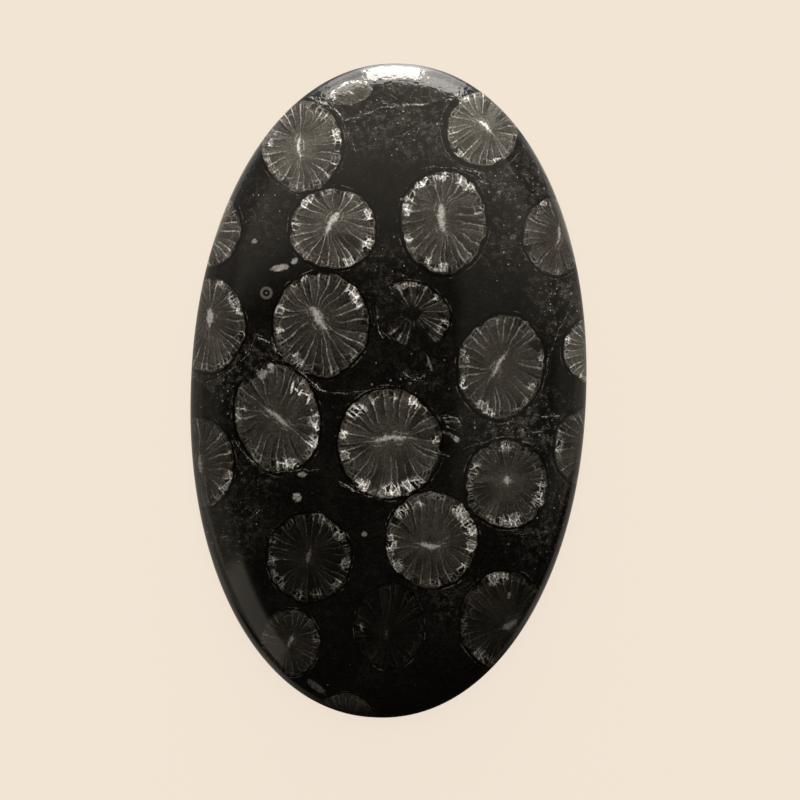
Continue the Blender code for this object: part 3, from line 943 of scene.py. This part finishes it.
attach(stone, "root")
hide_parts(NODE)


# ------------------------------------------------------------------------------------------------
# The table and the light
# A pale table, lit from within so that shadows stay faint. The lamps only bring out the colours. The
# polish shows two small glowing cards on edge just beyond the head of the stone, and a dim sheen from
# larger cards overhead, to the right and low on the left. To the polish the table itself is painted
# light: a painted pool of light beyond the head, painted glow round the sides, and painted shade at the foot.
# ------------------------------------------------------------------------------------------------

CREAM = (0.879, 0.776, 0.658, 1.0)
TABLE_SIZE = 6.0
TABLE_GAP = 0.01 * MM               # the stone rests on a few high spots of its back
TABLE_GLOW = 0.95                   # the share of the table's brightness that is its own
TABLE_SIDE = 0.36                   # painted glow of the table round the stone, seen only in the polish
TABLE_HEAD = 26.0                   # and beyond its head, in the painted pool of light there
HEAD_TINT = (1.0, 0.98, 0.95, 1.0)
POOL_TURN = math.radians(-1.7)      # the painted pool's direction from the stone, and how far it spreads
POOL_HALF_WIDTH = math.radians(6.2)
WIDE_POOL_HALF_WIDTH = math.radians(18)
DARK_FOOT = math.radians(-82)       # the direction in which the table has painted shade in the polish, and the walls give no light
CARD_TINT = (1.0, 0.90, 0.75, 1.0)
OVERHEAD_CARD = 0.47
SIDE_CARD = 0.21
LOW_CARD = 0.65
LOW_CARD_TURN = (-2.7402, -2.7102, -2.3189, -2.2689)    # begins, whole, fades, ends, in radians
SHOULDER_TURN = (2.0246, 2.1246, 2.4482, 2.5482)        # the same, for the stone's shoulders
SHOULDER_GLOW = 0.45                # painted glow of the table close to the shoulders, seen only in the polish
SHOULDER_SHADE = 0.58               # how much of the card overhead is hidden from the shoulders
HIDDEN_TURN = (math.radians(132), math.radians(144))
WALLS = 0.22
ROOM = 0.02
LAMP_TINT = (1.0, 0.965, 0.90)
LAMP_DISTANCE = 1.5

# (name, degrees down from overhead, degrees to the right of the head, size in metres, radiance)
LAMPS = [
    ("key_lamp", 81, -3, (0.57, 0.50), 22.0),
    ("wide_lamp", 75, -3, (1.8, 0.65), 6.5),
    ("fill_lamp", 25, 0, (1.0, 1.0), 5.0),
]

# The two small cards, which glow by themselves and show only in the polish: how far along they
# stand, their left and right ends, their tops, and how bright they are near the table, how bright
# above that, and what the right end adds.
KEY_CARD_Y = 33.0 * MM
KEY_CARD_SIDES = (-5.06 * MM, 2.9 * MM)
KEY_CARD_TOP = 6.5 * MM
KEY_CARD_GLOW = (24.0, 22.0, 0.0)
WIDE_CARD_Y = 34.0 * MM
WIDE_CARD_SIDES = (-14.3 * MM, 11.2 * MM)
WIDE_CARD_TOP = 9.4 * MM
WIDE_CARD_GLOW = (3.6, 6.5, 2.0)
GLOW_STEP = (2.3 * MM, 3.1 * MM)    # the height at which the lower brightness gives way
RIGHT_END = (0.0, 6.0 * MM)

bpy.ops.mesh.primitive_plane_add(size=TABLE_SIZE, location=(0.0, 0.0, -TABLE_GAP))
table = bpy.context.object
table.name = "table"
table_material = bpy.data.materials.new("pale_table")
table_material.use_nodes = True
table_tree = table_material.node_tree
matt = table_tree.nodes["Principled BSDF"]
matt.inputs["Base Color"].default_value = CREAM
matt.inputs["Roughness"].default_value = 0.9
matt.inputs["Specular IOR Level"].default_value = 0.0
glow = table_tree.nodes.new("ShaderNodeEmission")
glow.inputs["Color"].default_value = CREAM
lit = table_tree.nodes.new("ShaderNodeMixShader")
# Rays other than the camera's see the table as painted light, carried by this emission: painted glow round
# the stone, a painted pool of light beyond the head, and painted shade at the foot.
dim = table_tree.nodes.new("ShaderNodeEmission")
table_place = add_node(table_tree, "ShaderNodeTexCoord", {}, "Object")
table_x, table_y, _ = table_place.parts()
table_far = length(table_place)
lit_within = table_far.rise(0.3, 0.9) * (1.0 - TABLE_GLOW) + TABLE_GLOW
table_tree.links.new(lit_within.socket, lit.inputs["Fac"])
# The painted pool of light beyond the head, a narrow one and a wide one.
bearing = maths("ARCTAN2", table_x, table_y)
from_lamp_line = abs(bearing - POOL_TURN)
painted_lamp_pool = from_lamp_line.fall(POOL_HALF_WIDTH * 0.85, POOL_HALF_WIDTH * 1.15)
painted_wide_pool = from_lamp_line.fall(WIDE_POOL_HALF_WIDTH * 0.8, WIDE_POOL_HALF_WIDTH * 1.2)
past_tip = table_y.rise(HALF_LENGTH, HALF_LENGTH + 3.0 * MM)
well_past_tip = table_y.rise(HALF_LENGTH + 2.5 * MM, HALF_LENGTH + 6.5 * MM)
painted_pool_beyond_head = well_past_tip * painted_lamp_pool * 0.80 + past_tip * (painted_wide_pool * 0.14 + painted_lamp_pool * 0.06)
painted_pool_beyond_head = painted_pool_beyond_head * table_y.fall(KEY_CARD_Y, WIDE_CARD_Y)
# Painted shade towards the foot, with painted glow close round the stone elsewhere.
foot_way = (math.cos(DARK_FOOT), math.sin(DARK_FOOT), 0.0)
toward_foot = vector_maths("NORMALIZE", table_place)
toward_foot = vector_maths("DOT_PRODUCT", toward_foot, foot_way, output="Value")
from_stone = length(vector_maths("MULTIPLY", table_place, (1 / HALF_WIDTH, 1 / HALF_LENGTH, 0.0)))
close_by = from_stone.fall(1.25, 1.50)
painted_side_glow = maths("MAXIMUM", close_by * toward_foot.fall(0.85, 0.97), toward_foot.fall(0.30, 0.50))
# Painted glow low on the left and by the shoulders.
table_turn = maths("ARCTAN2", table_y, table_x)
low_left = table_turn.band(*LOW_CARD_TURN) * table_far.rise(18 * MM, 24 * MM)
side_turn = maths("ARCTAN2", table_y, abs(table_x) * -1.0)
painted_shoulder_glow = side_turn.band(*SHOULDER_TURN) * from_stone.fall(1.30, 1.60)
# All the painted light that the polish sees on the table, as an emission strength.
painted_table_shine = painted_side_glow * TABLE_SIDE + painted_pool_beyond_head * TABLE_HEAD + painted_shoulder_glow * SHOULDER_GLOW
painted_table_shine = painted_table_shine + low_left * (LOW_CARD - TABLE_SIDE) + ROOM
table_tint = mix("RGBA", table_y.rise(HALF_LENGTH * 0.5, HALF_LENGTH), CARD_TINT, HEAD_TINT)
table_tree.links.new(table_tint.socket, dim.inputs["Color"])
table_tree.links.new(painted_table_shine.socket, dim.inputs["Strength"])
seen = table_tree.nodes.new("ShaderNodeLightPath")
choice = table_tree.nodes.new("ShaderNodeMixShader")
table_out = table_tree.nodes["Material Output"]
table_tree.links.new(matt.outputs["BSDF"], lit.inputs[1])
table_tree.links.new(glow.outputs["Emission"], lit.inputs[2])
table_tree.links.new(seen.outputs["Is Camera Ray"], choice.inputs["Fac"])
table_tree.links.new(dim.outputs["Emission"], choice.inputs[1])
table_tree.links.new(lit.outputs["Shader"], choice.inputs[2])
table_tree.links.new(choice.outputs["Shader"], table_out.inputs["Surface"])
table_material.cycles.emission_sampling = "NONE"
table.data.materials.append(table_material)

world = bpy.data.worlds.new("studio")
world.use_nodes = True
bpy.context.scene.world = world
sky = world.node_tree
way = add_node(sky, "ShaderNodeTexCoord", {}, "Generated")
way_x, way_y, way_z = way.parts()
above = maths("MAXIMUM", way_z, 0.02)
ceiling_x = way_x / above
ceiling_y = way_y / above
up = way_z.rise(0.0, 0.02)
under_card = ceiling_y.rise(0.15, 0.33)
overhead = under_card * up * (ceiling_y.rise(0.33, 0.60) * 0.65 + 1.0)
side = ceiling_x.band(0.265, 0.290, 0.6, 1.6) * ceiling_y.rise(-0.30, 0.05) * up * (1.0 - under_card)
foot_share = way_x * math.cos(DARK_FOOT) + way_y * math.sin(DARK_FOOT)
walls = way_z.fall(0.35, 0.65) * foot_share.fall(0.25, 0.45) * (1.0 - under_card)
to_side = maths("ARCTAN2", way_y, abs(way_x) * -1.0)
hidden = to_side.rise(*HIDDEN_TURN) * way_z.fall(0.45, 0.62)
overhead = overhead * (1.0 - hidden * SHOULDER_SHADE)
low_left = maths("ARCTAN2", way_y, way_x).band(*LOW_CARD_TURN) * way_z.fall(0.48, 0.56)
strength = overhead * OVERHEAD_CARD + side * SIDE_CARD + walls * WALLS + low_left * LOW_CARD + ROOM
cards = add_node(sky, "ShaderNodeBackground", {"Color": CARD_TINT, "Strength": strength})
backdrop = add_node(sky, "ShaderNodeBackground", {"Color": CREAM, "Strength": 1.0})
direct = add_node(sky, "ShaderNodeLightPath", {}, "Is Camera Ray")
studio = add_node(sky, "ShaderNodeMixShader", {0: direct, 1: cards, 2: backdrop})
sky.links.new(studio.socket, sky.nodes["World Output"].inputs["Surface"])

# The lamps are crossed out of the reflections, as with a polarising filter.
for name, tilt, turn, size, radiance in LAMPS:
    tilt = math.radians(tilt)
    turn = math.radians(turn)
    lamp = bpy.data.lights.new(name, "AREA")
    lamp.shape = "RECTANGLE"
    lamp.size, lamp.size_y = size
    lamp.energy = radiance * math.pi * size[0] * size[1]
    lamp.color = LAMP_TINT
    holder = bpy.data.objects.new(name, lamp)
    holder.location = (
        LAMP_DISTANCE * math.sin(tilt) * math.sin(turn),
        LAMP_DISTANCE * math.sin(tilt) * math.cos(turn),
        LAMP_DISTANCE * math.cos(tilt),
    )
    holder.rotation_euler = (-tilt, 0.0, -turn)
    holder.visible_camera = False
    holder.visible_glossy = False
    bpy.context.scene.collection.objects.link(holder)


def add_glowing_card(name, place_y, sides, top, glow_low, glow_high, glow_right):
    """A card on edge beyond the stone's head, glowing by itself though it lights nothing. Only the polish
    shows it.
    """
    left, right = sides
    bpy.ops.mesh.primitive_plane_add(
        size=1.0,
        location=((left + right) / 2, place_y, top / 2),
        rotation=(math.radians(90), 0.0, 0.0),
    )
    card = bpy.context.object
    card.name = name
    card.scale = (right - left, top, 1.0)
    white = bpy.data.materials.new(name)
    white.use_nodes = True
    card_tree = white.node_tree
    card_x, _, card_height = add_node(card_tree, "ShaderNodeNewGeometry", {}, "Position").parts()
    card_glow = card_height.rise(*GLOW_STEP) * (glow_high - glow_low) + glow_low
    card_glow = card_glow + card_x.rise(*RIGHT_END) * glow_right
    shine = card_tree.nodes.new("ShaderNodeEmission")
    shine.inputs["Color"].default_value = (*LAMP_TINT, 1.0)
    card_tree.links.new(card_glow.socket, shine.inputs["Strength"])
    card_tree.links.new(shine.outputs["Emission"], card_tree.nodes["Material Output"].inputs["Surface"])
    white.cycles.emission_sampling = "NONE"
    card.data.materials.append(white)
    card.visible_camera = False
    card.visible_diffuse = False
    card.visible_transmission = False
    card.visible_shadow = False


add_glowing_card("key_card", KEY_CARD_Y, KEY_CARD_SIDES, KEY_CARD_TOP, *KEY_CARD_GLOW)
add_glowing_card("wide_card", WIDE_CARD_Y, WIDE_CARD_SIDES, WIDE_CARD_TOP, *WIDE_CARD_GLOW)


# ------------------------------------------------------------------------------------------------
# The camera
# It looks straight down on the stone from 0.8 m with a long lens, turned by two degrees and set a
# little to one side.
# ------------------------------------------------------------------------------------------------

VIEW_WIDTH = 56.23 * MM             # what the picture takes in at the height of the stone's edge
CAMERA_HEIGHT = 0.8
CAMERA_X = 0.835 * MM
CAMERA_Y = -0.628 * MM
CAMERA_ROLL = math.radians(2.21)
SENSOR = 36.0

lens = bpy.data.cameras.new("camera")
lens.sensor_width = SENSOR
lens.lens = SENSOR * CAMERA_HEIGHT / VIEW_WIDTH
lens.clip_start = 0.05
lens.clip_end = 20.0
camera = bpy.data.objects.new("camera", lens)
camera.location = (CAMERA_X, CAMERA_Y, EDGE_HEIGHT + CAMERA_HEIGHT)
camera.rotation_euler = (0.0, 0.0, CAMERA_ROLL)
bpy.context.scene.collection.objects.link(camera)
bpy.context.scene.camera = camera
bpy.context.scene.view_settings.view_transform = "Standard"
